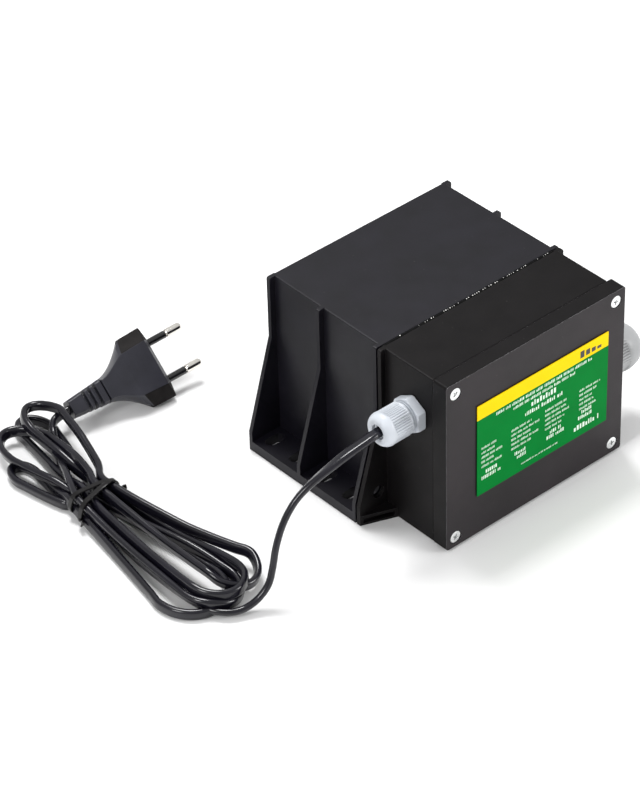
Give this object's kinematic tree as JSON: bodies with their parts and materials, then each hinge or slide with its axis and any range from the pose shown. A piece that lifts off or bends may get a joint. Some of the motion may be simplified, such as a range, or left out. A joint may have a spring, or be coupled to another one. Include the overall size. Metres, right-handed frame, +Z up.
{
  "type": "potted safety transformer",
  "caption": "Potted low-voltage safety transformer in a ribbed plastic cup with mounting flanges, a screwed wiring box with cable glands, and a tied mains lead with a two-pin plug.",
  "frame": {"origin": "centre of the underside, midway between the cover's face and the cup's rear wall, on the plane the object stands on", "axes": "+X to the right as seen from the cover, +Y from the cover to the rear wall, +Z up"},
  "size_m": [0.2466, 0.2022, 0.089],
  "materials": {
    "cup_plastic": "dark bluish grey moulding, satin, faint mould texture",
    "box_plastic": "near-black moulding, satin, worn light along the cover's edges",
    "grey_nylon": "light grey nylon, slightly glossy",
    "dark_rubber": "matt black rubber",
    "adhesive": "set adhesive, uneven",
    "zinc": "bright zinc plate",
    "nickel": "polished nickel plate",
    "label_film": "printed film, green with a yellow band, satin",
    "core_steel": "stacked electrical steel, dull edges",
    "bobbin_nylon": "natural nylon",
    "copper": "enamelled copper wire",
    "tape": "yellow polyester tape",
    "resin": "cast black resin, smooth",
    "board": "brown laminate board",
    "brass": "plain brass",
    "glass": "clear glass",
    "black_pvc": "black PVC, softly glossy",
    "brown_pvc": "brown PVC",
    "blue_pvc": "blue PVC",
    "red_pvc": "red PVC",
    "white_nylon": "white nylon"
  },
  "bodies": {
    "housing": {"potting_cup": "cup_plastic", "connection_box": "box_plastic", "joint_adhesive": "adhesive", "laminated_core": "core_steel", "winding_bobbin": "bobbin_nylon", "primary_winding": "copper", "winding_tape": "tape", "secondary_winding": "copper", "thermal_fuse": "zinc", "potting_resin": "resin", "wiring_board": "board", "fuse_base": "bobbin_nylon", "fuse_clip_1": "brass", "fuse_clip_2": "brass", "terminal_block": "white_nylon", "terminal_screw_1": "brass", "terminal_screw_2": "brass", "terminal_screw_3": "brass", "terminal_screw_4": "brass", "mains_core_live": "brown_pvc", "mains_core_neutral": "blue_pvc", "primary_lead_live": "brown_pvc", "primary_lead_neutral": "blue_pvc", "secondary_lead_a": "red_pvc", "secondary_lead_b": "black_pvc", "splice_connector": "bobbin_nylon", "mains_gland_body": "grey_nylon", "mains_gland_seal_ring": "dark_rubber", "mains_gland_cage": "grey_nylon", "mains_gland_insert": "dark_rubber", "mains_locknut": "grey_nylon", "output_gland_body": "grey_nylon", "output_gland_seal_ring": "dark_rubber", "output_gland_cage": "grey_nylon", "output_gland_insert": "dark_rubber", "output_locknut": "grey_nylon", "output_blanking_plug": "dark_rubber", "mains_cord_entry": "black_pvc", "mains_cord_run": "black_pvc", "mains_cord_tail": "black_pvc", "mains_cord_hank": "black_pvc", "twist_tie": "white_nylon", "plug_body": "black_pvc", "plug_pin_1": "nickel", "plug_pin_2": "nickel", "pin_sleeve_1": "black_pvc", "pin_sleeve_2": "black_pvc"},
    "cover": {"front_cover": "box_plastic", "cover_gasket": "dark_rubber", "rating_label": "label_film"},
    "cover_screw_1_body": {"cover_screw_1": "zinc"},
    "cover_screw_2_body": {"cover_screw_2": "zinc"},
    "cover_screw_3_body": {"cover_screw_3": "zinc"},
    "cover_screw_4_body": {"cover_screw_4": "zinc"},
    "mains_nut": {"mains_gland_nut": "grey_nylon"},
    "output_nut": {"output_gland_nut": "grey_nylon"},
    "fuse": {"fuse_glass": "glass", "fuse_cap_1": "nickel", "fuse_cap_2": "nickel"}
  },
  "joints": [
    {"name": "cover_lift", "type": "slide", "parent": "housing", "child": "cover", "axis": [0, -1, 0], "range_m": [0, 0.06]},
    {"name": "cover_screw_1_turn", "type": "hinge", "parent": "cover", "child": "cover_screw_1_body", "pos_m": [-0.047, -0.056, 0.0062], "axis": [0, -1, 0], "range_deg": [0, 360]},
    {"name": "cover_screw_2_turn", "type": "hinge", "parent": "cover", "child": "cover_screw_2_body", "pos_m": [0.047, -0.056, 0.0062], "axis": [0, -1, 0], "range_deg": [0, 360]},
    {"name": "cover_screw_3_turn", "type": "hinge", "parent": "cover", "child": "cover_screw_3_body", "pos_m": [-0.047, -0.056, 0.0832], "axis": [0, -1, 0], "range_deg": [0, 360]},
    {"name": "cover_screw_4_turn", "type": "hinge", "parent": "cover", "child": "cover_screw_4_body", "pos_m": [0.047, -0.056, 0.0832], "axis": [0, -1, 0], "range_deg": [0, 360]},
    {"name": "mains_nut_turn", "type": "hinge", "parent": "housing", "child": "mains_nut", "pos_m": [-0.0645, -0.0345, 0.0641], "axis": [-1, 0, 0], "range_deg": [0, 360]},
    {"name": "output_nut_turn", "type": "hinge", "parent": "housing", "child": "output_nut", "pos_m": [0.068, -0.0345, 0.0351], "axis": [1, 0, 0], "range_deg": [0, 360]},
    {"name": "fuse_pull", "type": "slide", "parent": "housing", "child": "fuse", "axis": [0, -1, 0], "range_m": [0, 0.01]}
  ]
}
